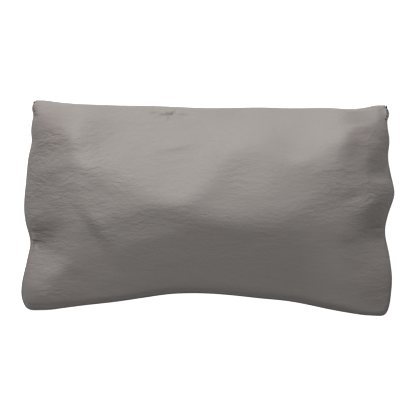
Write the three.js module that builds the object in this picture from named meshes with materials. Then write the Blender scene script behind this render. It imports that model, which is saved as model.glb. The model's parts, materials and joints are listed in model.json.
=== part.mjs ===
// Envelope clutch in soft leather, lying on its flap with its plain back upwards.
// Millimetres, +Z up, +X to the right, +Y towards the folded top edge. The origin is on the
// surface that the clutch lies on, under the middle of its footprint.

import * as THREE from "three";

// Driving dimensions
const WIDTH = 301; // across the widest stretch of the side seams
const HEIGHT = 170.4; // from the bottom corners to the ends of the top roll
const LEATHER = 1.6; // wall thickness
const GAP = 0.3; // between pieces that meet

// Side seams, where the back and the front panel are sewn together
const BOTTOM_HEIGHT = { end: 8.5, middle: 16.5 }; // of the back panel along the bottom seam
const LEFT_CORNER_RADIUS = 9;
const RIGHT_CORNER_RADIUS = 6.5;

// Top roll, where the back panel turns over and becomes the flap
const MOUTH_DEPTH = 12.6; // from the top of the roll to the front panel's free edge
const SHOULDER_HEIGHT = { end: 13.2, middle: 24 }; // of the back panel above that free edge
const ROLL_HEIGHT = { end: 6.5, middle: 10 }; // of the roll's furthest line

// Flap, flat on the surface
const FLAP_END = -26; // where its free edge lies
const FLAP_INSET = 1.4; // of its sides, from the side seams' upper ends
const FLAP_CORNER_RADIUS = 18;

// Front panel, between the flap and the pocket
const FRONT_LIFT = 4.9; // of its outer side above the surface, over the flap
const FRONT_STEP = 16; // length over which it comes down off the flap's edge
const BELLY = 26; // distance over which it rises from the surface to a seam

// Magnetic snap, hidden between the flap and the front panel
const SNAP = { radius: 8, thickness: 2.4, edge: 0.6, aboveFlapEnd: 17, sides: 28 };

// Rows and columns of the leather meshes
const COLUMNS = 36;
const CROWDING = 0.85; // 0 spaces the columns evenly, 1 crowds them against the seams
const ROWS = { back: 23, roll: 4, turn: 5, flap: 8 };

const HALF_WIDTH = WIDTH / 2;
const HALF_HEIGHT = HEIGHT / 2;

// How far each side seam is pulled in from the widest line, at a height on the back
const LEFT_SEAM = [
  { y: -85, pull: 1.4 },
  { y: -68, pull: 0 },
  { y: -44, pull: 4.5 },
  { y: -29, pull: 6.9 },
  { y: -16, pull: 3.1 },
  { y: -4, pull: 1.3 },
  { y: 20, pull: 2.6 },
  { y: 40, pull: 4.4 },
  { y: 52, pull: 6.8 },
  { y: 61, pull: 5.8 },
  { y: 72.5, pull: 7.6 },
  { y: 79, pull: 6.2 },
  { y: 85.2, pull: 9.4 },
];
const RIGHT_SEAM = [
  { y: -85, pull: 3.6 },
  { y: -70, pull: 2 },
  { y: -55, pull: 1.2 },
  { y: -36, pull: 3.8 },
  { y: -17, pull: 7.5 },
  { y: -2, pull: 4.8 },
  { y: 8, pull: 1.4 },
  { y: 14, pull: 0 },
  { y: 22, pull: 1.8 },
  { y: 44, pull: 5.9 },
  { y: 56, pull: 4.8 },
  { y: 72.5, pull: 7 },
  { y: 78, pull: 5.3 },
  { y: 85.2, pull: 9 },
];

// Sections from the left seam (-1) to the right seam (1). The bottom seam rises and the top roll dips
// between the corners. The stuffed back climbs from the bottom seam to a low bend, lies nearly level
// up to a high bend and falls from there to the roll.
const SECTIONS = [
  { across: -1, bottomRise: 0.6, topDip: 0.2, lowY: -60, lowZ: 13.5, highY: 66, highZ: 13.5 },
  { across: -0.95, bottomRise: 0.4, topDip: 0.2, lowY: -59, lowZ: 19.5, highY: 65, highZ: 21 },
  { across: -0.88, bottomRise: 0.5, topDip: 1.4, lowY: -57, lowZ: 25, highY: 62, highZ: 28.5 },
  { across: -0.78, bottomRise: 2.6, topDip: 2.5, lowY: -46, lowZ: 31, highY: 56, highZ: 36 },
  { across: -0.66, bottomRise: 5.2, topDip: 3.1, lowY: -18, lowZ: 41, highY: 36, highZ: 44.5 },
  { across: -0.5, bottomRise: 8.2, topDip: 3.5, lowY: -8, lowZ: 47, highY: 27, highZ: 48.5 },
  { across: -0.36, bottomRise: 11.5, topDip: 3.4, lowY: -3, lowZ: 50, highY: 14, highZ: 51 },
  { across: -0.2, bottomRise: 15.1, topDip: 3.9, lowY: -2, lowZ: 51.5, highY: 5, highZ: 52 },
  { across: -0.05, bottomRise: 16.1, topDip: 4.5, lowY: -4, lowZ: 52, highY: 14, highZ: 51.5 },
  { across: 0.1, bottomRise: 15.3, topDip: 4.2, lowY: -9, lowZ: 51, highY: 46, highZ: 45 },
  { across: 0.3, bottomRise: 12.7, topDip: 3.4, lowY: -10, lowZ: 50.5, highY: 53, highZ: 43.5 },
  { across: 0.45, bottomRise: 10.9, topDip: 3.7, lowY: -5, lowZ: 49.5, highY: 42, highZ: 46 },
  { across: 0.56, bottomRise: 8.3, topDip: 3.3, lowY: 2, lowZ: 47, highY: 42, highZ: 46.5 },
  { across: 0.68, bottomRise: 4.8, topDip: 2.9, lowY: -6, lowZ: 40.5, highY: 53, highZ: 42.5 },
  { across: 0.8, bottomRise: 1.9, topDip: 3.5, lowY: -24, lowZ: 32.5, highY: 65, highZ: 36.5 },
  { across: 0.89, bottomRise: 0.2, topDip: 2.2, lowY: -40, lowZ: 26, highY: 67, highZ: 29 },
  { across: 0.95, bottomRise: 0, topDip: 0.3, lowY: -50, lowZ: 20.5, highY: 69, highZ: 22 },
  { across: 1, bottomRise: 0.3, topDip: 0.2, lowY: -57, lowZ: 13.5, highY: 69, highZ: 13.5 },
];
const BEND_REACH = { low: 10, high: 14 }; // how far each bend is rounded to either side

// Folds of the stuffed back: a long soft mound (lift above 0) or hollow (below 0), turned from +X
const FOLDS = [
  { at: "left seam pinch", x: -133, y: -28, turn: 6, length: 20, width: 10, lift: -4.5 },
  { at: "left slanting fold", x: -92, y: -13, turn: -56, length: 24, width: 7, lift: 1.5 },
  { at: "left short fold", x: -114, y: -26, turn: 70, length: 12, width: 6, lift: 2 },
  { at: "left upper crease", x: -133, y: 42, turn: 30, length: 16, width: 5, lift: -2.2 },
  { at: "left upper fold", x: -121, y: 34, turn: 34, length: 18, width: 6, lift: 1.8 },
  { at: "right seam fold", x: 131, y: 9, turn: 30, length: 22, width: 7, lift: 2.2 },
  { at: "right upper hollow", x: 137, y: 25, turn: -20, length: 16, width: 9, lift: -3 },
  { at: "right seam pinch", x: 134, y: -27, turn: 20, length: 20, width: 13, lift: -3 },
  { at: "right corner dent", x: 128, y: 61, turn: -20, length: 16, width: 6.5, lift: -2 },
];
const FOLD_FADE = 8; // distance from a seam or the roll over which the folds die out

const { clamp, lerp, degToRad, smoothstep } = THREE.MathUtils;

// Smooth curve through one column of a table
function through(rows, place, column) {
  const places = rows.map((row) => row[place]);
  const values = rows.map((row) => row[column]);
  const curve = new THREE.CubicInterpolant(places, values, 1);
  return (at) => curve.evaluate(clamp(at, places[0], places.at(-1)))[0];
}

const leftPull = through(LEFT_SEAM, "y", "pull");
const rightPull = through(RIGHT_SEAM, "y", "pull");
const bottomRise = through(SECTIONS, "across", "bottomRise");
const topDip = through(SECTIONS, "across", "topDip");
const lowY = through(SECTIONS, "across", "lowY");
const lowZ = through(SECTIONS, "across", "lowZ");
const highY = through(SECTIONS, "across", "highY");
const highZ = through(SECTIONS, "across", "highZ");

// How far a round corner cuts in from one side, at a distance from the other side
function cornerCut(distance, radius) {
  const inside = Math.max(radius - distance, 0);
  return radius - Math.sqrt(radius ** 2 - Math.min(inside, radius) ** 2);
}
const CORNER_START = 1 - Math.SQRT1_2; // share of the radius where a mesh corner meets its round corner

// A height that is greatest in the middle and falls away to the two seams
const bow = (across, power, { end, middle }) => lerp(end, middle, (1 - across ** 2) ** power);
const SHOULDER_POWER = 0.6;

const bottomSeam = (across) => {
  const radius = across < 0 ? LEFT_CORNER_RADIUS : RIGHT_CORNER_RADIUS;
  const fromSide = (1 - Math.abs(across)) * HALF_WIDTH + radius * CORNER_START;
  return bottomRise(across) - HALF_HEIGHT + cornerCut(fromSide, radius);
};
const topRoll = (across) => HALF_HEIGHT - topDip(across);

// Plan place of a side seam at a height on the back
function seamX(y, side) {
  const [pull, radius] = side < 0 ? [leftPull(y), LEFT_CORNER_RADIUS] : [rightPull(y), RIGHT_CORNER_RADIUS];
  return side * (HALF_WIDTH - pull - cornerCut(y + HALF_HEIGHT, radius));
}

const MOUTH_Y = HALF_HEIGHT - MOUTH_DEPTH;
const flapSide = (side) => seamX(MOUTH_Y, side) - side * FLAP_INSET;
const flapEnd = (across) => {
  const fromSide = (1 - Math.abs(across)) * HALF_WIDTH + FLAP_CORNER_RADIUS * CORNER_START;
  return FLAP_END + cornerCut(fromSide, FLAP_CORNER_RADIUS);
};

// Section of the back, the roll and the flap at one place across: [y, z] curves joined end to end
function backSection(across) {
  const point = (y, z) => new THREE.Vector2(y, z);
  const bend = (a, b, c) => new THREE.QuadraticBezierCurve(a, b, c);
  const line = (a, b) => new THREE.LineCurve(a, b);
  const towards = (a, b, reach) => a.clone().lerp(b, Math.min(reach / a.distanceTo(b), 0.45));

  const roll = topRoll(across);
  const rollHeight = bow(across, 1, ROLL_HEIGHT);
  const seam = point(bottomSeam(across), bow(across, 1, BOTTOM_HEIGHT));
  const low = point(lowY(across), lowZ(across));
  const high = point(highY(across), highZ(across));
  const shoulder = point(roll - MOUTH_DEPTH, bow(across, SHOULDER_POWER, SHOULDER_HEIGHT));
  const furthest = point(roll, rollHeight);
  const flapStart = point(roll - rollHeight, 0);

  const [lowStart, lowEnd] = [seam, high].map((end) => towards(low, end, BEND_REACH.low));
  const [highStart, highEnd] = [low, shoulder].map((end) => towards(high, end, BEND_REACH.high));
  const back = new THREE.CurvePath();
  back.add(line(seam, lowStart));
  back.add(bend(lowStart, low, lowEnd));
  back.add(line(lowEnd, highStart));
  back.add(bend(highStart, high, highEnd));
  back.add(line(highEnd, shoulder));
  const slope = (shoulder.y - high.y) / (shoulder.x - high.x);
  const overRoll = point(roll, Math.max(shoulder.y + slope * MOUTH_DEPTH, rollHeight));
  return {
    back,
    roll: bend(shoulder, overRoll, furthest),
    turn: bend(furthest, point(roll, 0), flapStart),
    flap: line(flapStart, point(flapEnd(across), 0)),
  };
}

// Height that the folds add to the back
function foldLift(x, y) {
  const centre = new THREE.Vector2();
  return FOLDS.reduce((sum, fold) => {
    const turned = new THREE.Vector2(x - fold.x, y - fold.y).rotateAround(centre, -degToRad(fold.turn));
    return sum + fold.lift * Math.exp(-((turned.x / fold.length) ** 2) - (turned.y / fold.width) ** 2);
  }, 0);
}

// Columns across the clutch, crowded towards the seams
const ACROSS = Array.from({ length: COLUMNS + 1 }, (_, i) => {
  const quarter = (CROWDING * Math.PI) / 2;
  return Math.sin(quarter * ((2 * i) / COLUMNS - 1)) / Math.sin(quarter);
});

// Rows up the back, over the roll and along the flap: [stretch of the section, share of it]
const BACK_ROWS = Object.entries(ROWS).flatMap(([stretch, count]) =>
  Array.from({ length: count }, (_, i) => [stretch, i / count]),
);
BACK_ROWS.push(["flap", 1]);
const FRONT_ROWS = ROWS.back; // the front panel ends where the roll begins

// Plan place of a side of the leather in one row
function rowSide(stretch, share, side) {
  const y = backSection(side)[stretch].getPointAt(share).x;
  if (stretch === "turn") return lerp(seamX(y, side), flapSide(side), share);
  if (stretch === "flap") return flapSide(side) - side * cornerCut(y - FLAP_END, FLAP_CORNER_RADIUS);
  return seamX(y, side);
}

// Outer side of the back and the flap, as rows of points from the bottom seam to the flap's free edge
function backSurface() {
  const sections = ACROSS.map(backSection);
  return BACK_ROWS.map(([stretch, share]) => {
    const [left, right] = [-1, 1].map((side) => rowSide(stretch, share, side));
    return ACROSS.map((across, i) => {
      const { x: y, y: z } = sections[i][stretch].getPointAt(share);
      const x = lerp(left, right, (across + 1) / 2);
      if (stretch !== "back") return new THREE.Vector3(x, y, z);
      const fromEdge = Math.min(x - left, right - x, y - bottomSeam(across), topRoll(across) - y);
      return new THREE.Vector3(x, y, z + foldLift(x, y) * smoothstep(fromEdge, 0, FOLD_FADE));
    });
  });
}

// Outer side of the front panel, as rows from the bottom seam to the mouth. Its rim lies under the
// back panel's rim, two walls and a gap lower.
function frontSurface(back) {
  const rows = back.slice(0, FRONT_ROWS + 1);
  const under = (point) => point.z - 2 * LEATHER - GAP;
  const rise = (distance) => (1 - Math.min(distance / BELLY, 1)) ** 2;
  const shareUp = (row, column) => {
    const [bottom, mouth] = [rows[0][column].y, rows[FRONT_ROWS][column].y];
    return (row[column].y - bottom) / (mouth - bottom);
  };
  return rows.map((row) => {
    const [left, right] = [shareUp(row, 0), shareUp(row, COLUMNS)];
    return row.map(({ x }, i) => {
      const bottom = rows[0][i].y;
      const mouth = rows[FRONT_ROWS][i].y;
      const y = lerp(bottom, mouth, lerp(left, right, (ACROSS[i] + 1) / 2));
      const side = ACROSS[i] < 0 ? 0 : COLUMNS;
      const atSide = rise(Math.abs(x - row[side].x));
      const atBottom = rise(y - bottom);
      const middle = FRONT_LIFT * smoothstep(y, FLAP_END - FRONT_STEP, FLAP_END);
      const rims = atBottom * under(rows[0][i]) + atSide * under(row[side]);
      const corner = atSide * atBottom * under(rows[0][side]);
      return new THREE.Vector3(x, y, rims - corner + (1 - atSide) * (1 - atBottom) * middle);
    });
  });
}

// Two triangles for a four-cornered cell, split so that neither is a sliver
function splitCell(vertices, a, b, c, d) {
  const area = (...corners) => new THREE.Triangle(...corners.map((i) => vertices[i])).getArea();
  const alongAC = Math.min(area(a, b, c), area(a, c, d));
  const alongBD = Math.min(area(a, b, d), area(b, c, d));
  return alongAC >= alongBD ? [a, b, c, a, c, d] : [a, b, d, b, c, d];
}

function indexed(vertices, triangles) {
  const geometry = new THREE.BufferGeometry().setFromPoints(vertices).setIndex(triangles);
  geometry.computeVertexNormals();
  return geometry;
}

// Closed leather wall from rows of points on its outer side, which face away from the wall
function leatherWall(rows) {
  const [height, width] = [rows.length, rows[0].length];
  const outer = rows.flat();
  const cells = [];
  for (let j = 0; j + 1 < height; j++) {
    for (let i = 0; i + 1 < width; i++) {
      const first = j * width + i;
      cells.push(splitCell(outer, first, first + 1, first + width + 1, first + width));
    }
  }
  const normals = indexed(outer, cells.flat()).getAttribute("normal");
  const inner = outer.map((point, i) => {
    const normal = new THREE.Vector3().fromBufferAttribute(normals, i);
    return point.clone().addScaledVector(normal, -LEATHER);
  });

  const count = outer.length;
  const innerCells = cells.flatMap(([a, b, c, d, e, f]) => [c, b, a, f, e, d].map((i) => i + count));
  const rim = [
    ...Array.from({ length: width - 1 }, (_, i) => i),
    ...Array.from({ length: height - 1 }, (_, j) => (j + 1) * width - 1),
    ...Array.from({ length: width - 1 }, (_, i) => count - 1 - i),
    ...Array.from({ length: height - 1 }, (_, j) => (height - 1 - j) * width),
  ];
  const rimCells = rim.flatMap((a, k) => {
    const b = rim[(k + 1) % rim.length];
    return [a, a + count, b, b, a + count, b + count];
  });
  return indexed([...outer, ...inner], [...cells.flat(), ...innerCells, ...rimCells]);
}

// Plain disc with eased edges
function snapDisc({ radius, thickness, edge, sides }) {
  const profile = [
    [0, 0],
    [radius - edge, 0],
    [radius, edge],
    [radius, thickness - edge],
    [radius - edge, thickness],
    [0, thickness],
  ].map(([r, z]) => new THREE.Vector2(r, z));
  return new THREE.LatheGeometry(profile, sides).rotateX(Math.PI / 2);
}

const leather = (color) => new THREE.MeshStandardMaterial({ color, roughness: 0.55, metalness: 0 });
const nickel = new THREE.MeshStandardMaterial({ color: 0x8c8a86, roughness: 0.35, metalness: 1 });

function piece(name, geometry, material) {
  const mesh = new THREE.Mesh(geometry, material);
  mesh.name = name;
  return mesh;
}

const back = backSurface();
const frontFacingDown = frontSurface(back).map((row) => row.reverse());

const backAndFlap = piece("back_and_flap", leatherWall(back), leather(0xa39e99));
const frontPanel = piece("front_panel", leatherWall(frontFacingDown), leather(0x9e9994));
const magneticSnap = piece("magnetic_snap", snapDisc(SNAP), nickel);
magneticSnap.position.set(0, FLAP_END + SNAP.aboveFlapEnd, LEATHER + GAP);

const clutch = new THREE.Group();
clutch.add(backAndFlap, frontPanel, magneticSnap);

// Puts the origin under the middle of the footprint
const footprint = new THREE.Box3().setFromObject(clutch, true);
const middle = footprint.getCenter(new THREE.Vector3());
clutch.position.set(-middle.x, -middle.y, -footprint.min.z);

const part = new THREE.Group();
part.add(clutch);

export default part;
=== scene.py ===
# %% [markdown]
# # A soft leather envelope clutch
#
# The clutch lies on its flap with its plain back towards us. Its shape comes from a CAD model: a
# back panel that rolls over the top edge and becomes the flap, a front panel sewn to it, and a
# hidden magnetic snap. Here that shape is made smooth, given its finer folds, covered in matt
# grey leather, stitched and photographed from straight above.

# %% Load the CAD model
import json
import math

import bmesh
import bpy
import numpy as np
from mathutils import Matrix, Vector, noise
from mathutils.bvhtree import BVHTree

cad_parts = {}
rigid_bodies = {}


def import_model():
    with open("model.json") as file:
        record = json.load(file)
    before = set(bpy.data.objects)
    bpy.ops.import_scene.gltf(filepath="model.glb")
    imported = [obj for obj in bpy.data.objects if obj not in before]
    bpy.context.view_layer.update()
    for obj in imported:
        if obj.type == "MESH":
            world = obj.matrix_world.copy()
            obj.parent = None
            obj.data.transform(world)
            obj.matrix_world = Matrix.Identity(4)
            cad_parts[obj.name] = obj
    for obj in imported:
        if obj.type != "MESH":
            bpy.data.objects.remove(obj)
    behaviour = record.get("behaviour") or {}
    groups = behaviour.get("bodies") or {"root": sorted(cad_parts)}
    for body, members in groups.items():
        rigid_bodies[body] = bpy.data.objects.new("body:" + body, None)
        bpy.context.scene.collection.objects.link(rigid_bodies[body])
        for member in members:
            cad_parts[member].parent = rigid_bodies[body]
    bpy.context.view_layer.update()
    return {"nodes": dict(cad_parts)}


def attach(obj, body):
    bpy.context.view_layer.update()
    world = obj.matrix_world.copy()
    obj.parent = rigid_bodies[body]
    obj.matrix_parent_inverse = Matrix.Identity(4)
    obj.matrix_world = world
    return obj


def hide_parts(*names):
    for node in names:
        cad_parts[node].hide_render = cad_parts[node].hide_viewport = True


bpy.ops.object.select_all(action="SELECT")
bpy.ops.object.delete()
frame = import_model()
MM = 0.001

# %% [markdown]
# ## Smooth leather from a coarse cage
#
# The panels are bent sheets of leather, 1.6 mm thick. The CAD walls are flat triangles, a few
# millimetres across. They could be shaded smooth as they are, but their outline would stay
# angular. Joined back into four-sided cells they make a good cage for a subdivision surface, which
# rounds the cut edges as well, the way a folded and hammered leather edge is round. Two levels give
# cells of about 2 mm, small enough to carry the folds as real shape. The smooth skin shrinks away
# from its cage a little, so the cage is first swollen by as much as the skin shrinks, and the skin
# then keeps to the CAD outline.

# %% A piece of leather from a CAD node
WELD = 0.02 * MM
SAME_WALL = math.radians(60)
NEARLY_SQUARE = math.radians(70)
SMOOTH_LEVELS = 2


def places(obj):
    flat = np.empty(len(obj.data.vertices) * 3)
    obj.data.vertices.foreach_get("co", flat)
    return flat.reshape(-1, 3) / MM


def move_to(obj, points):
    obj.data.vertices.foreach_set("co", (points * MM).ravel())
    obj.data.update()


def skin_of(obj):
    return obj.evaluated_get(bpy.context.evaluated_depsgraph_get())


def cage_of(node, name):
    bm = bmesh.new()
    bm.from_mesh(frame["nodes"][node].data)
    bmesh.ops.remove_doubles(bm, verts=bm.verts, dist=WELD)
    bmesh.ops.join_triangles(
        bm,
        faces=bm.faces,
        angle_face_threshold=SAME_WALL,
        angle_shape_threshold=NEARLY_SQUARE,
    )
    mesh = bpy.data.meshes.new(name)
    bm.to_mesh(mesh)
    bm.free()
    cage = bpy.data.objects.new(name, mesh)
    bpy.context.scene.collection.objects.link(cage)
    return cage


def smooth_copy(node, name):
    piece = cage_of(node, name)
    piece.modifiers.new("Smooth", "SUBSURF").levels = SMOOTH_LEVELS
    cage_points = places(piece)
    shrink = cage_points - places(skin_of(piece))[: len(cage_points)]
    move_to(piece, cage_points + shrink)
    piece.data = bpy.data.meshes.new_from_object(skin_of(piece))
    piece.modifiers.clear()
    piece.data.shade_smooth()
    grown = round(np.abs(shrink).max(), 2)
    print(name, "has", len(piece.data.vertices), "vertices; its cage grew by", grown, "mm")
    return piece


back = smooth_copy("back_and_flap", "back_leather")
front = smooth_copy("front_panel", "front_leather")

# %% [markdown]
# ## A finer mesh for narrow creases
#
# Handled leather has creases only a millimetre or two wide: a crinkle at the top roll, and short
# ones that run in from the pinched side seams. A mesh of 2 mm cells can't show them. A third level
# of subdivision would, for four times as many cells everywhere. It is cheaper to cut the edges in
# three only inside a few boxes, given here by their limits across and along the bag in millimetres,
# and only on the upper side.

# %% Cut the mesh finer inside the boxes
CREASED = {
    "roll": ((-52, -12), (67, 80)),
    "left pinch": ((-148, -122), (-36, -12)),
    "right seam": ((104, 148), (-24, 34)),
}
UPPER_SIDE = 8


def is_creased(face):
    x, y, z = face.calc_center_median() / MM
    boxes = CREASED.values()
    inside = any(left < x < right and low < y < high for (left, right), (low, high) in boxes)
    return inside and z > UPPER_SIDE


bm = bmesh.new()
bm.from_mesh(back.data)
# A dict keeps each edge once, and in the same order on every run.
edges = dict.fromkeys(edge for face in bm.faces if is_creased(face) for edge in face.edges)
bmesh.ops.subdivide_edges(bm, edges=list(edges), cuts=2, use_grid_fill=True)
bm.to_mesh(back.data)
bm.free()
print(len(edges), "edges cut in three")

# %% [markdown]
# ## Slack leather at the ends
#
# The filling stretches the leather over the middle of the bag. At the two shoulders beside the roll
# and in the lower corners nothing holds it up, so it hangs in one soft sweep from what surrounds
# it. A cloth simulation could find that sweep, but it would move the folds as well, and those have
# to stay where they are. So each corner of the mesh is drawn towards the mean height of its
# neighbours, many times over, only where the leather is slack. Near the seams, where two layers
# sewn together stay stiff, it keeps its height, and so does the flap underneath.

# %% How far each point is from the seams
# The outline is read off in bands of this width.
BAND = 3.0


def smoothstep(values, low, high):
    share = np.clip((values - low) / (high - low), 0, 1)
    return share * share * (3 - 2 * share)


def outermost(along, values, pick):
    bands = np.round(along / BAND).astype(int)
    stops = np.unique(bands)
    return np.interp(along, stops * BAND, [pick(values[bands == b]) for b in stops])


def seam_distance(points, bottom_weight=1):
    x, y = points[:, 0], points[:, 1]
    from_left = x - outermost(y, x, np.min)
    from_right = outermost(y, x, np.max) - x
    from_bottom = y - outermost(x, y, np.min)
    return np.minimum(np.minimum(from_left, from_right), from_bottom * bottom_weight)


points = places(back)
from_seam = seam_distance(points)
print("the spot furthest from the seams is", round(from_seam.max()), "mm away, on the roll")

# %% Let the slack leather sag
SLACK_ROUNDS = 140
SLACK_STEP = 0.5
# Each pair says where a share starts to grow and where it is full, in millimetres.
SHOULDER = {"out": (55, 90), "up": (30, 45), "roll": (75, 81)}
LOWER_CORNER = {"out": (80, 105), "up": (-32, -20)}
STIFF_SEAM = (3, 12)
FLAP_LEVEL = (7, 10)

out, up = np.abs(points[:, 0]), points[:, 1]
above_flap = smoothstep(points[:, 2], *FLAP_LEVEL)
shoulders = smoothstep(out, *SHOULDER["out"]) * smoothstep(up, *SHOULDER["up"])
shoulders *= 1 - smoothstep(up, *SHOULDER["roll"])
lower_corners = smoothstep(out, *LOWER_CORNER["out"]) * (1 - smoothstep(up, *LOWER_CORNER["up"]))
slack = np.maximum(shoulders, lower_corners) * smoothstep(from_seam, *STIFF_SEAM) * above_flap

ends = np.empty(len(back.data.edges) * 2, dtype=int)
back.data.edges.foreach_get("vertices", ends)
ends = ends.reshape(-1, 2)
here, there = np.concatenate((ends, ends[:, ::-1])).T
neighbours = np.bincount(here, minlength=len(points))
before = points[:, 2].copy()
for _ in range(SLACK_ROUNDS):
    around = np.bincount(here, weights=points[there, 2], minlength=len(points)) / neighbours
    points[:, 2] += SLACK_STEP * slack * (around - points[:, 2])
print("slack leather moves by up to", round(np.abs(points[:, 2] - before).max(), 2), "mm")

# %% [markdown]
# ## Folds, creases and dents
#
# The main folds are already in the CAD shape. On the real bag there are smaller ones: creases that
# run in from the side seams, a crinkle at the roll, a lip along the crest of the filling, swells
# and hollows at both ends. They could be sculpted by hand, but a table can be read and changed.
# Each row is one long soft mound or hollow: its middle, its turn from +X in degrees, its half
# length, its half widths above and below its line, and how far it lifts the leather, all in
# millimetres. A fold with one narrow side shows as a thin bright or dark line, as a crease in
# leather does. All folds fade out close to the seams and leave the flap flat.

# %% Table of folds
FINE_FOLDS = [
    # name, x, y, turn, length, above, below, lift
    ("crinkle at the roll, end", -44, 75, 0, 5, 1.8, 1.8, -1.4),
    ("crinkle at the roll, left", -38, 73, 8, 6, 1.7, 1.7, -1.9),
    ("crinkle at the roll, cross", -33, 74, -70, 3, 1.4, 1.4, -1.5),
    ("crinkle at the roll, slant", -30, 74, 50, 5, 1.5, 1.5, -1.8),
    ("crinkle at the roll, right", -22, 73.5, -5, 7, 2.0, 2.0, -1.5),
    ("swell under the roll", -20, 50, 5, 28, 12, 30, 1.9),
    ("arc under the roll", -27, 48, 10, 16, 4, 2.6, 0.9),
    ("crest drawn out to the left", -50, -29, 12, 48, 14, 45, 2.8),
    ("middle swell", 42, 14, 0, 27, 30, 16, 2.9),
    ("lip of the crest", 50, 2, 0, 16, 25, 8, 1.0),
    ("star fold", 75, 38, 15, 9, 5, 5, 1.2),
    ("right middle hollow", 70, 9, 0, 24, 18, 13, -1.2),
    ("right middle swell", 74, -19, 0, 26, 15, 45, 3.0),
    ("left ear, raised", -110, 80, 0, 32, 40, 23, 4.4),
    ("left corner fold", -127, 52, 8, 14, 4, 4, 0.9),
    ("left upper fold", -121, 27, 17, 16, 10, 26, 1.8),
    ("left shoulder, fuller", -103, 64, 0, 23, 40, 28, 5.6),
    ("left shoulder, drawn in", -107, 50, 0, 9, 30, 14, 1.4),
    ("left shallow dent", -98, 42, 12, 22, 14, 40, -1.5),
    ("left long fold", -91, 25, -33, 16, 4.5, 5, 0.5),
    ("left swell", -98, 20, 0, 24, 30, 22, 1.6),
    ("left brow", -104, 16, 0, 18, 40, 16, 2.8),
    ("left crease", -108, 10.5, -8, 12, 3, 12, -0.8),
    ("left slant", -95, -19, -58, 20, 6, 18, -3.0),
    ("left hollow", -123, -21, 0, 13, 9, 30, -1.8),
    ("left spot", -106, -22, 10, 14, 40, 18, 2.7),
    ("left pinch, upper crease", -139, -21, 2, 9, 1.1, 3, -0.8),
    ("left pinch, lower crease", -140.5, -29.5, -4, 4.5, 1.1, 4, -1.6),
    ("left pinch, sunk", -131, -40, -10, 17, 11, 22, -3.2),
    ("left corner mound", -124, -56, 40, 14, 7, 7, 1.0),
    ("left corner, raised", -136, -79, 0, 22, 18, 8, 3.6),
    ("right ear, raised", 106, 80, 0, 22, 40, 18, 3.4),
    ("right shoulder, fuller", 105, 56, 0, 15, 60, 20, 2.2),
    ("right ear, crease", 130, 60.5, -20, 10, 2, 5, -0.6),
    ("right corner, sunk", 125, 64, -24, 14, 14, 6, -1.6),
    ("right shoulder crease", 115, 49.5, 4, 11, 2.5, 12, -0.25),
    ("right shoulder, drawn in", 109, 54, 0, 9, 30, 14, 1.3),
    ("right shoulder, streak", 124, 54, -11, 7, 2.5, 4, 0.4),
    ("right hollow, streak", 127, 42.5, 23, 6, 2.5, 4, 0.4),
    ("right brow", 131, 44, -10, 11, 12, 30, 3.2),
    ("right hollow, shallower", 136, 25, -10, 13, 7, 24, 1.6),
    ("right hollow, drawn in", 139, 31.5, -5, 11, 25, 7, -1.8),
    ("right seam, upper step", 138, 21.5, -3, 12, 4, 7, 1.7),
    ("right seam, lower swell", 134, 2, 10, 11, 8, 40, 1.1),
    ("right seam fold, flatter", 127, 10, 28, 20, 11, 7, -2.0),
    ("right crease", 117, 10.5, 14, 11, 1.6, 3, -0.35),
    ("right short fold", 122, 5, 22, 16, 5, 9, 0.4),
    ("right pinch, crease", 139, -14, 8, 8, 1.8, 1.8, -0.9),
    ("right pinch, sunk", 128, -28, 10, 22, 14, 55, -2.2),
    ("right corner, bellied", 102, -52, 0, 26, 45, 22, 1.8),
    ("right corner, fuller", 114, -79, -6, 24, 24, 24, 0.4),
]
print(len(FINE_FOLDS), "folds")


# %% Height that the folds add up to
def fold_lift(points):
    lift = np.zeros(len(points))
    for _, x, y, turn, length, above, below, height in FINE_FOLDS:
        angle = math.radians(turn)
        dx, dy = points[:, 0] - x, points[:, 1] - y
        along = dx * math.cos(angle) + dy * math.sin(angle)
        aside = dy * math.cos(angle) - dx * math.sin(angle)
        width = np.where(aside > 0, above, below)
        lift += height * np.exp(-((along / length) ** 2) - (aside / width) ** 2)
    return lift


folds = fold_lift(points)
print("the folds reach from", round(folds.min(), 2), "to", round(folds.max(), 2), "mm")

# %% [markdown]
# ## Lumps
#
# Between the folds the leather isn't quite even: the filling and the hide give it low lumps about a
# centimetre wide, higher at the ends than in the taut middle. A displacement modifier could make
# them from a texture. Blender's noise function, called once for each corner of the mesh, gives the
# same hills, and they can be added to the folds before anything is moved.

# %% Folds and lumps put on
LUMP = {"long": 15, "wide": 9, "height": 0.38, "least": 0.3}
TAUT_AT = 25
SLACK_FROM = (60, 140)
SEAM_FADE = (0.8, 5)

hills = np.array([noise.noise(Vector((x / LUMP["long"], y / LUMP["wide"], 0))) for x, y, _ in points])
slackness = smoothstep(np.abs(points[:, 0] - TAUT_AT), *SLACK_FROM)
lumps = hills * LUMP["height"] * (LUMP["least"] + (1 - LUMP["least"]) * slackness)
lift = (folds + lumps) * smoothstep(from_seam, *SEAM_FADE) * above_flap
points[:, 2] += lift
print("the back moves by", round(lift.min(), 2), "to", round(lift.max(), 2), "mm")

# %% [markdown]
# ## Ears and thinned edges
#
# Nothing fills the ends of the roll, so these two ears bend down towards the table. Along the seams
# the leather is pared thinner before it is sewn, which rounds its upper edge. A bevel would round
# the edge too, but it would also round the lower side, which stays flat on the next layer. So only
# the upper edge is lowered: a corner of the mesh belongs to it if it looks upwards and no leather
# lies above it.

# %% Drooping ears
EAR = {"out": (134, 148), "up": (66, 74), "droop": 3.0}

ears = smoothstep(np.abs(points[:, 0]), *EAR["out"]) * smoothstep(points[:, 1], *EAR["up"])
points[:, 2] -= EAR["droop"] * ears * above_flap
move_to(back, points)
print(np.count_nonzero(ears * above_flap), "corners of the mesh lie on the ears")

# %% A pared edge
PARED = {"depth": 1.0, "width": 2.0, "reach": 6.0}
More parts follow.
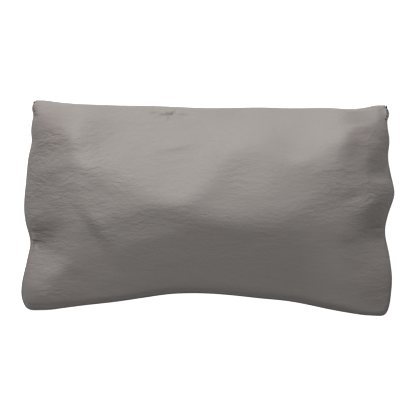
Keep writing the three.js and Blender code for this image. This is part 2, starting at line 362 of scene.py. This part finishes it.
# Upward share of a surface normal; a normal of 1 looks straight up.
LOOKS_UP = 0.35
UP = Vector((0, 0, 1))
# Rays start this far off the surface, so that they don't hit the spot where they start.
CLEAR = 0.05 * MM

tree = BVHTree.FromObject(back, bpy.context.evaluated_depsgraph_get())
pared = 0
for index in np.nonzero(from_seam < PARED["reach"])[0]:
    vertex = back.data.vertices[index]
    if vertex.normal.z > LOOKS_UP and tree.ray_cast(vertex.co + UP * CLEAR, UP)[0] is None:
        points[index, 2] -= PARED["depth"] * math.exp(-((from_seam[index] / PARED["width"]) ** 2))
        pared += 1
move_to(back, points)
print(pared, "corners of the mesh lie on a pared edge")

# %% [markdown]
# ## Distance from the seams, for the painted shade
#
# Towards the side seams the leather is painted a little darker than in the middle. This is painted
# shade: the slopes down to the seams turn away from the lamps. The colour needs to know how far each
# spot is from the side seams. A picture painted by hand could tell it, but the distance is already at
# hand: it is stored on the mesh as an attribute, a number for each corner, which a shader can read.
# The bottom seam counts for less, and so does the roll, which lies beyond the upper ends of the side
# seams.

# %% Store the distance on both panels
SEAM_TOP = 70
BEYOND_WEIGHT = 3
BOTTOM_WEIGHT = 4

for panel in (back, front):
    panel_points = places(panel)
    beyond = np.maximum(panel_points[:, 1] - SEAM_TOP, 0) * BEYOND_WEIGHT
    distances = np.hypot(seam_distance(panel_points, BOTTOM_WEIGHT), beyond) * MM
    panel.data.attributes.new("from_seam", "FLOAT", "POINT").data.foreach_set("value", distances)
    print(panel.name, "reaches", round(distances.max() / MM), "mm in from its seams")

# %% [markdown]
# ## Colours and nodes
#
# Colours are written as the hex values that a colour picker shows, and turned into the linear light
# values that Blender computes with. Shader nodes could be placed and wired by hand in the editor.
# In code, one small function adds a node, sets its inputs and links other nodes into it, and every
# finish below is built with it.


# %% Helpers for materials
def linear(hex_colour):
    shares = [int(hex_colour[i : i + 2], 16) / 255 for i in (1, 3, 5)]
    return [c / 12.92 if c <= 0.04045 else ((c + 0.055) / 1.055) ** 2.4 for c in shares] + [1]


def add_node(material, kind, inputs=None, **settings):
    node = material.node_tree.nodes.new(kind)
    for name, value in settings.items():
        setattr(node, name, value)
    for name, value in (inputs or {}).items():
        if isinstance(value, bpy.types.NodeSocket):
            material.node_tree.links.new(value, node.inputs[name])
        else:
            node.inputs[name].default_value = value
    return node


def new_material(name):
    material = bpy.data.materials.new(name)
    material.use_nodes = True
    material.node_tree.nodes.clear()
    return material


print("mid grey #808080 is", round(linear("#808080")[0], 3), "in linear light")

# %% [markdown]
# ## Grain leather
#
# The outer side is smooth grain leather with a matt finish: a pebble of about a millimetre, and over
# it short creases that lie mostly across the bag, as hide creases where it is stretched over a
# soft filling. Both are too fine to model, so they tilt the shading through a bump map. The creases
# come from noise squeezed in one direction, so each is about twice as long as it is wide. A second,
# larger noise in the same direction lays soft ripples under them, a few millimetres apart.

# %% Direction and size of the creases
CREASE = {"long": 3.2 * MM, "wide": 1.4 * MM, "turn": math.radians(8)}
RIPPLE = {"scale": 0.4, "share": 1.5}
WANDER = {"size": 45 * MM, "shift": (8 * MM, 12 * MM, 0)}

grain = new_material("Matt grain leather")
where = add_node(grain, "ShaderNodeTexCoord").outputs["Object"]
wander = add_node(
    grain,
    "ShaderNodeTexNoise",
    {"Vector": where, "Scale": 1 / WANDER["size"], "Detail": 2},
)
bent = add_node(
    grain,
    "ShaderNodeVectorMath",
    {0: wander.outputs["Color"], 1: WANDER["shift"], 2: where},
    operation="MULTIPLY_ADD",
)
squeezed = add_node(
    grain,
    "ShaderNodeMapping",
    {
        "Vector": bent.outputs[0],
        "Rotation": (0, 0, -CREASE["turn"]),
        "Scale": (1 / CREASE["long"], 1 / CREASE["wide"], 1 / CREASE["long"]),
    },
)
creases = add_node(
    grain,
    "ShaderNodeTexNoise",
    {"Vector": squeezed.outputs[0], "Scale": 1, "Detail": 2, "Roughness": 0.5},
)
ripples = add_node(
    grain,
    "ShaderNodeTexNoise",
    {"Vector": squeezed.outputs[0], "Scale": RIPPLE["scale"], "Detail": 1, "Roughness": 0.5},
)
wrinkles = add_node(
    grain,
    "ShaderNodeMath",
    {0: ripples.outputs["Fac"], 1: RIPPLE["share"], 2: creases.outputs["Fac"]},
    operation="MULTIPLY_ADD",
)
print("creases are", CREASE["long"] / MM, "by", CREASE["wide"] / MM, "mm")

# %% [markdown]
# ## Where the leather is creased
#
# Creases come in patches, and more of them near the side seams, where the leather is gathered. The
# lower slope is drawn tight and has few. Masks painted by hand could say so, but they would have to
# be painted again for each new shape. Three factors do it here: one from a wide noise, one from the
# distance to the taut middle and one from the height on the bag. Their product makes the creases
# deeper or shallower.

# %% Patches and gathered ends
PATCH = 28 * MM
GATHERED = {"from": 60 * MM, "to": 150 * MM}

patches = add_node(
    grain,
    "ShaderNodeTexNoise",
    {"Vector": where, "Scale": 1 / PATCH, "Detail": 1},
)
patchy = add_node(
    grain,
    "ShaderNodeMapRange",
    {"Value": patches.outputs["Fac"], "From Min": 0.35, "From Max": 0.65, "To Min": 0.45},
)
across = add_node(grain, "ShaderNodeSeparateXYZ", {"Vector": where})
from_taut = add_node(
    grain,
    "ShaderNodeMath",
    {0: across.outputs["X"], 1: TAUT_AT * MM},
    operation="SUBTRACT",
)
aside = add_node(grain, "ShaderNodeMath", {0: from_taut.outputs[0]}, operation="ABSOLUTE")
gathered = add_node(
    grain,
    "ShaderNodeMapRange",
    {
        "Value": aside.outputs[0],
        "From Min": GATHERED["from"],
        "From Max": GATHERED["to"],
        "To Min": 0.6,
        "To Max": 1.4,
    },
    interpolation_type="SMOOTHSTEP",
)
print("creases gather more than", round(GATHERED["from"] / MM), "mm from the taut middle")

# %% Fewer creases on the lower slope
LOWER_SLOPE = {"from": -45 * MM, "to": -5 * MM}

upper = add_node(
    grain,
    "ShaderNodeMapRange",
    {
        "Value": across.outputs["Y"],
        "From Min": LOWER_SLOPE["from"],
        "From Max": LOWER_SLOPE["to"],
        "To Min": 0.45,
    },
    interpolation_type="SMOOTHSTEP",
)
wrinkle_height = wrinkles
for share in (patchy, gathered, upper):
    wrinkle_height = add_node(
        grain,
        "ShaderNodeMath",
        {0: wrinkle_height.outputs[0], 1: share.outputs[0]},
        operation="MULTIPLY",
    )
print("creases are full above y =", round(LOWER_SLOPE["to"] / MM), "mm")

# %% [markdown]
# ## Colour of the leather
#
# The hide is a warm grey that varies a little, as dye does on skin. Below the two ears it has a
# faint rosy tint. Towards the side seams it is painted a shade darker: painted shade for the slopes
# there, which turn away from the lamps. One colour for the whole bag would look like plastic. Each of
# the three is a mix of two colours: the dye by a wide noise, the tint by the place on the bag, the
# painted shade by the stored distance from the seams.

# %% Dye
DYE = ("#9b9491", "#999590")
CLOUD = 40 * MM

cloud = add_node(grain, "ShaderNodeTexNoise", {"Vector": where, "Scale": 1 / CLOUD, "Detail": 3})
dye = add_node(
    grain,
    "ShaderNodeMix",
    {"Factor": cloud.outputs["Fac"], "A": linear(DYE[0]), "B": linear(DYE[1])},
    data_type="RGBA",
)
print("the dye lies between", *DYE)

# %% Rosy tint below the ears
ROSY = "#9f9190"

span = add_node(grain, "ShaderNodeMath", {0: across.outputs["X"]}, operation="ABSOLUTE")
rosy_ends = add_node(
    grain,
    "ShaderNodeMapRange",
    {"Value": span.outputs[0], "From Min": 106 * MM, "From Max": 132 * MM, "To Max": 0.7},
)
rosy_top = add_node(
    grain,
    "ShaderNodeMapRange",
    {"Value": across.outputs["Y"], "From Min": 34 * MM, "From Max": 58 * MM},
)
below_roll = add_node(
    grain,
    "ShaderNodeMapRange",
    {
        "Value": across.outputs["Y"],
        "From Min": 66 * MM,
        "From Max": 80 * MM,
        "To Min": 1,
        "To Max": 0.2,
    },
)
rosy = rosy_ends
for share in (rosy_top, below_roll):
    rosy = add_node(
        grain,
        "ShaderNodeMath",
        {0: rosy.outputs[0], 1: share.outputs[0]},
        operation="MULTIPLY",
    )
blush = add_node(
    grain,
    "ShaderNodeMix",
    {"Factor": rosy.outputs[0], "A": dye.outputs["Result"], "B": linear(ROSY)},
    data_type="RGBA",
)
print("below the ears the colour turns towards", ROSY)

# %% Painted shade, darker towards the side seams
# Painted shade: towards the side seams the colour turns darker, in place of the shade on the slopes
# there.
SEAM_SHADE_COLOUR = "#87817e"

seam_gap = add_node(grain, "ShaderNodeAttribute", attribute_name="from_seam")
seam_shade = add_node(
    grain,
    "ShaderNodeMapRange",
    {
        "Value": seam_gap.outputs["Fac"],
        "From Min": 2 * MM,
        "From Max": 48 * MM,
        "To Min": 0.8,
        "To Max": 0,
    },
    interpolation_type="SMOOTHSTEP",
)
tone = add_node(
    grain,
    "ShaderNodeMix",
    {"Factor": seam_shade.outputs[0], "A": blush.outputs["Result"], "B": linear(SEAM_SHADE_COLOUR)},
    data_type="RGBA",
)
print("near the seams the colour turns towards", SEAM_SHADE_COLOUR)

# %% [markdown]
# ## Pebble and shine
#
# The pebble of hide is a pattern of small rounded cells. It could be real shape, but from this far
# only its shading shows, so it is a second bump on top of the creases. The finish is matt: it
# reflects little, and spreads what it reflects.

# %% Pebble and finish of the grain side
PEBBLE = 1.2 * MM

pebble = add_node(
    grain,
    "ShaderNodeTexVoronoi",
    {"Vector": where, "Scale": 1 / PEBBLE, "Smoothness": 0.6},
    feature="SMOOTH_F1",
)
wrinkle_bump = add_node(
    grain,
    "ShaderNodeBump",
    {"Height": wrinkle_height.outputs[0], "Strength": 0.54, "Distance": 1 * MM},
)
pebble_bump = add_node(
    grain,
    "ShaderNodeBump",
    {
        "Height": pebble.outputs["Distance"],
        "Strength": 0.25,
        "Distance": 0.2 * MM,
        "Normal": wrinkle_bump.outputs[0],
    },
)
# A matt finish spreads its reflections, so the folds show as soft shades without any glare.
surface = add_node(
    grain,
    "ShaderNodeBsdfPrincipled",
    {
        "Base Color": tone.outputs["Result"],
        "Roughness": 0.6,
        "IOR": 1.5,
        "Normal": pebble_bump.outputs[0],
    },
)
add_node(grain, "ShaderNodeOutputMaterial", {"Surface": surface.outputs[0]})
print("grain leather has", len(grain.node_tree.nodes), "nodes")

# %% [markdown]
# ## Flesh side, edge paint and thread
#
# The inside of the pocket and of the roll is the hide's flesh side: browner, rough and without shine.
# The cut edges are sealed with dark edge paint, which draws a thin line round the bag. The stitches
# are sewn with dark waxed thread. All three are plain colours over a fine unevenness, so one
# function makes them: noise of a given size tilts the shading, as a picture of the surface would,
# but it needs no picture and no unwrapping.


# %% Three plain finishes
def uneven_finish(name, colour, roughness, size, detail, strength, depth):
    material = new_material(name)
    where = add_node(material, "ShaderNodeTexCoord").outputs["Object"]
    uneven = add_node(
        material,
        "ShaderNodeTexNoise",
        {"Vector": where, "Scale": 1 / (size * MM), "Detail": detail},
    )
    bump = add_node(
        material,
        "ShaderNodeBump",
        {"Height": uneven.outputs["Fac"], "Strength": strength, "Distance": depth * MM},
    )
    surface = add_node(
        material,
        "ShaderNodeBsdfPrincipled",
        {
            "Base Color": linear(colour),
            "Roughness": roughness,
            "IOR": 1.5,
            "Normal": bump.outputs[0],
        },
    )
    add_node(material, "ShaderNodeOutputMaterial", {"Surface": surface.outputs[0]})
    print(name, "has a relief of", depth, "mm")
    return material


# A nap of short fibres: dull from every side, like suede.
NAP = {"roughness": 0.95, "size": 0.8, "detail": 4, "strength": 0.4, "depth": 0.3}
flesh = uneven_finish("Flesh side of leather", "#8b8178", **NAP)
# Brushed-on paint: a faint shine that runs along the edge.
BRUSHED = {"roughness": 0.5, "size": 2, "detail": 2, "strength": 0.3, "depth": 0.2}
paint = uneven_finish("Edge paint", "#3f3b38", **BRUSHED)
# Twisted and waxed: nearly black, with a soft gleam too weak to draw the eye.
TWIST = {"roughness": 0.7, "size": 0.3, "detail": 2, "strength": 0.4, "depth": 0.1}
thread = uneven_finish("Waxed thread", "#211e1c", **TWIST)

# %% [markdown]
# ## Which face gets which finish
#
# The three sides of the leather could be painted by selecting faces by hand. Measuring is quicker
# and stays right when the shape changes. A face of the wall has its other side 1.6 mm behind it,
# and a cut edge has far more leather behind it. On the back and flap, which wrap round a flat loop,
# a wall face is on the grain side if it looks away from the middle of that loop. On the front panel
# the grain side looks down.

# %% A finish for each face
GRAIN, FLESH, EDGE_PAINT = 0, 1, 2
THICKEST_WALL = 2.6 * MM
LOOP_MIDDLE = {"y": 70 * MM, "z": 6 * MM}


def finish_of(polygon, tree, of_front):
    start = polygon.center - polygon.normal * CLEAR
    behind = tree.ray_cast(start, -polygon.normal)[3]
    if behind is None or behind > THICKEST_WALL:
        return EDGE_PAINT
    if of_front:
        return GRAIN if polygon.normal.z < 0 else FLESH
    x, y, _ = polygon.center
    middle = Vector((x, min(y, LOOP_MIDDLE["y"]), LOOP_MIDDLE["z"]))
    return GRAIN if polygon.normal.dot(polygon.center - middle) > 0 else FLESH


for panel in (back, front):
    panel.data.materials.clear()
    for material in (grain, flesh, paint):
        panel.data.materials.append(material)
    tree = BVHTree.FromObject(panel, bpy.context.evaluated_depsgraph_get())
    finishes = [finish_of(polygon, tree, panel is front) for polygon in panel.data.polygons]
    panel.data.polygons.foreach_set("material_index", finishes)
    panel.data.update()
    counts = [finishes.count(finish) for finish in (GRAIN, FLESH, EDGE_PAINT)]
    print(panel.name, "has", counts, "faces of grain, flesh and edge")

# %% [markdown]
# ## Stitches
#
# A row of stitches follows the flap's edge, about 2 mm in from it and 3 mm apart, and goes over the
# ends of the top roll, where a few of them show from above at the right. A texture of dashes would
# lie flat, so each stitch is a short fat bead of thread. A guide of points, just outside the
# leather, runs round the flap. Each step along it is moved to the nearest point of the leather, so
# a stitch lies in the surface and leans with it.

# %% Guide round the flap
EDGE = {"flap": 2.2, "roll": 0.9}
ON_TABLE = 0.05
FLAP_START = 70
FLAP_CORNER = 18
CORNER_STEPS = 8
UNDER_FLAP = -8
# Beside the roll, as y and z; lower at the left, where no stitch shows from above.
ROLL_GUIDE = {
    -1: [(73, 14), (78, 11.5), (82, 7), (86, 3), (87.5, 0), (86, -3), (82, -6)],
    1: [(73, 14), (78, 11.5), (82, 10), (86, 8), (87.5, 5), (86, 0), (82, -6)],
}
ROLL_FRONT = 84
SLICE = 1.5

flap_points = points[points[:, 2] < ON_TABLE]
row_end = flap_points[:, 1].min() + EDGE["flap"]
turn_radius = FLAP_CORNER - EDGE["flap"]


def roll_edge(y, side):
    near = points[np.abs(points[:, 1] - min(y, ROLL_FRONT)) < SLICE]
    return (near[:, 0] * side).max() * side


def side_guide(side):
    flap_side = (flap_points[:, 0] * side).max() * side - side * EDGE["flap"]
    guide = [(roll_edge(y, side) - side * EDGE["roll"], y, z) for y, z in ROLL_GUIDE[side]]
    guide += [(flap_side, y, UNDER_FLAP) for y in (FLAP_START, row_end + turn_radius)]
    for step in range(1, CORNER_STEPS + 1):
        turn = math.radians(90 * step / CORNER_STEPS)
        x = flap_side - side * turn_radius * (1 - math.cos(turn))
        y = row_end + turn_radius * (1 - math.sin(turn))
        guide.append((x, y, UNDER_FLAP))
    return guide


guide = [Vector(p) for p in side_guide(-1) + side_guide(1)[::-1]]
print("the guide has", len(guide), "points and crosses the flap at y =", round(row_end, 1), "mm")

# %% Line of the stitches on the leather
GUIDE_STEP = 0.5
LEAST_STEP = 0.2 * MM

tree = BVHTree.FromObject(back, bpy.context.evaluated_depsgraph_get())
line = []
for start, end in zip(guide, guide[1:]):
    for share in np.arange(0, 1, GUIDE_STEP / max((end - start).length, GUIDE_STEP)):
        spot, normal, _, _ = tree.find_nearest(start.lerp(end, float(share)) * MM)
        if not line or (spot - line[-1][0]).length > LEAST_STEP:
            line.append((spot, normal))
print("the stitch line has", len(line), "points")

# %% One bead of thread for each stitch
STITCH = {"pitch": 3.0, "length": 2.6, "thread": 1.4, "sunk": 0.3}

beads = bmesh.new()
travelled, due, count = 0.0, 0.0, 0
for (spot, normal), (following, _) in zip(line, line[1:]):
    if travelled >= due:
        due += STITCH["pitch"] * MM
        count += 1
        along = (following - spot).normalized() * STITCH["length"] * MM
        side = normal.cross(along).normalized() * STITCH["thread"] * MM
        rise = normal * STITCH["thread"] * MM
        bead = bmesh.ops.create_uvsphere(beads, u_segments=8, v_segments=6, radius=0.5)
        for vert in bead["verts"]:
            x, y, z = vert.co
            vert.co = spot + along * x + side * y + rise * (z - STITCH["sunk"])
            vert.co.z = max(vert.co.z, 0)
    travelled += (following - spot).length
mesh = bpy.data.meshes.new("stitches")
beads.to_mesh(mesh)
beads.free()
mesh.shade_smooth()
stitches = bpy.data.objects.new("stitches", mesh)
bpy.context.scene.collection.objects.link(stitches)
stitches.data.materials.append(thread)
print(count, "stitches")

# %% [markdown]
# ## Magnetic snap
#
# The snap is hidden between the flap and the front panel, and the CAD disc is used as it is. It is
# nickel-plated steel: a metal, so its colour is the colour of its reflections. Polished metal would
# mirror the leather around it. The plate of a snap is satin, which noise in the roughness gives
# more simply than thousands of fine scratches would.

# %% Nickel
nickel = new_material("Satin nickel plate")
where = add_node(nickel, "ShaderNodeTexCoord").outputs["Object"]
haze = add_node(
    nickel,
    "ShaderNodeTexNoise",
    {"Vector": where, "Scale": 1 / (1.5 * MM), "Detail": 2},
)
dull = add_node(
    nickel,
    "ShaderNodeMapRange",
    {"Value": haze.outputs["Fac"], "To Min": 0.28, "To Max": 0.42},
)
# Satin: reflections are there, but blurred and a little cloudy.
surface = add_node(
    nickel,
    "ShaderNodeBsdfPrincipled",
    {"Base Color": linear("#b5b0a8"), "Metallic": 1, "Roughness": dull.outputs[0]},
)
add_node(nickel, "ShaderNodeOutputMaterial", {"Surface": surface.outputs[0]})
snap = frame["nodes"]["magnetic_snap"]
snap.data.materials.clear()
snap.data.materials.append(nickel)
print("the snap is", round(snap.dimensions.x / MM, 1), "mm across")

# %% [markdown]
# ## Light table
#
# Product photos on pure white are often taken on a glowing table, so that no shadow is left to cut
# away. A white floor under bright lamps would show a shadow and a grey tinge. A large plane that
# gives off white light itself has neither. Light that it would throw up at the bag is
# switched off, because in the photo the sides of the bag stay dark.

# %% Table
TABLE_SIZE = 8

bpy.ops.mesh.primitive_plane_add(size=TABLE_SIZE)
table = bpy.context.object
table.name = "light_table"
table.visible_diffuse = False
glow = new_material("Opal acrylic, lit")
# The glow hides the floor's own shading, so the eye sees only the bag.
surface = add_node(
    glow,
    "ShaderNodeBsdfPrincipled",
    {
        "Base Color": linear("#e8e8e8"),
        "Roughness": 0.9,
        "Emission Color": (1, 1, 1, 1),
        "Emission Strength": 1,
    },
)
add_node(glow, "ShaderNodeOutputMaterial", {"Surface": surface.outputs[0]})
table.data.materials.append(glow)
print("the light table is", TABLE_SIZE, "m across")

# %% [markdown]
# ## Lamps
#
# One soft lamp stands beyond the top edge, about 40 degrees above the table, so the upper slope of
# the bag is bright and the lower slope lies in its own shade. A weaker, slightly warm one overhead
# and an even sky keep that shade open. An environment picture could do all three at once, but
# lamps are easier to place: here the shading of the folds depends on where the light comes from.

# %% Two lamps and a sky
AIM = Vector((0, 0, 0.03))
SKY = 0.06


def lamp(name, place, power, size, colour):
    data = bpy.data.lights.new(name, "AREA")
    data.shape = "DISK"
    data.size = size
    data.energy = power
    data.color = linear(colour)[:3]
    obj = bpy.data.objects.new(name, data)
    obj.location = place
    obj.rotation_euler = (AIM - Vector(place)).to_track_quat("-Z", "Y").to_euler()
    bpy.context.scene.collection.objects.link(obj)
    print(name, "lamp:", power, "W,", size, "m across")


lamp("key", place=(-0.22, 1.1, 0.9), power=20.8, size=1.4, colour="#ffffff")
lamp("overhead", place=(-0.4, -0.3, 1.6), power=5.8, size=0.9, colour="#fffcfa")
world = bpy.data.worlds.new("Even sky")
world.use_nodes = True
world.node_tree.nodes["Background"].inputs["Color"].default_value = (1, 1, 1, 1)
world.node_tree.nodes["Background"].inputs["Strength"].default_value = SKY
bpy.context.scene.world = world
bpy.context.scene.view_settings.view_transform = "Standard"

# %% [markdown]
# ## Camera
#
# The camera looks straight down through a long lens, so the sides of the bag hardly show. An
# orthographic camera would hide them altogether, but a real lens can't. In the photo the bag is
# turned by a little less than a degree; the camera is turned instead.

# %% Long lens from above
FIELD = 336.8 * MM
SEAM_LEVEL = 10 * MM
OFF_CENTRE = (-0.25 * MM, -0.3 * MM)
TURN = math.radians(0.85)

camera_data = bpy.data.cameras.new("camera")
camera_data.lens = 180
camera_data.sensor_width = 36
camera = bpy.data.objects.new("camera", camera_data)
distance = FIELD * camera_data.lens / camera_data.sensor_width
camera.location = (*OFF_CENTRE, SEAM_LEVEL + distance)
camera.rotation_euler = (0, 0, TURN)
bpy.context.scene.collection.objects.link(camera)
bpy.context.scene.camera = camera
print("camera is", round(distance, 3), "m away")

# %% [markdown]
# ## What each piece is
#
# The two smooth panels stand for their CAD walls and ride with them. Both are sheets of leather: the
# back and flap were cut in one length, folded over, and the front panel is a shorter length
# laid under the back.

# %% Pieces in place of the CAD walls
for piece, node, name in (
    (back, "back_and_flap", "back_leather"),
    (front, "front_panel", "front_leather"),
):
    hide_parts(node)
    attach(piece, "root")
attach(stitches, "root")
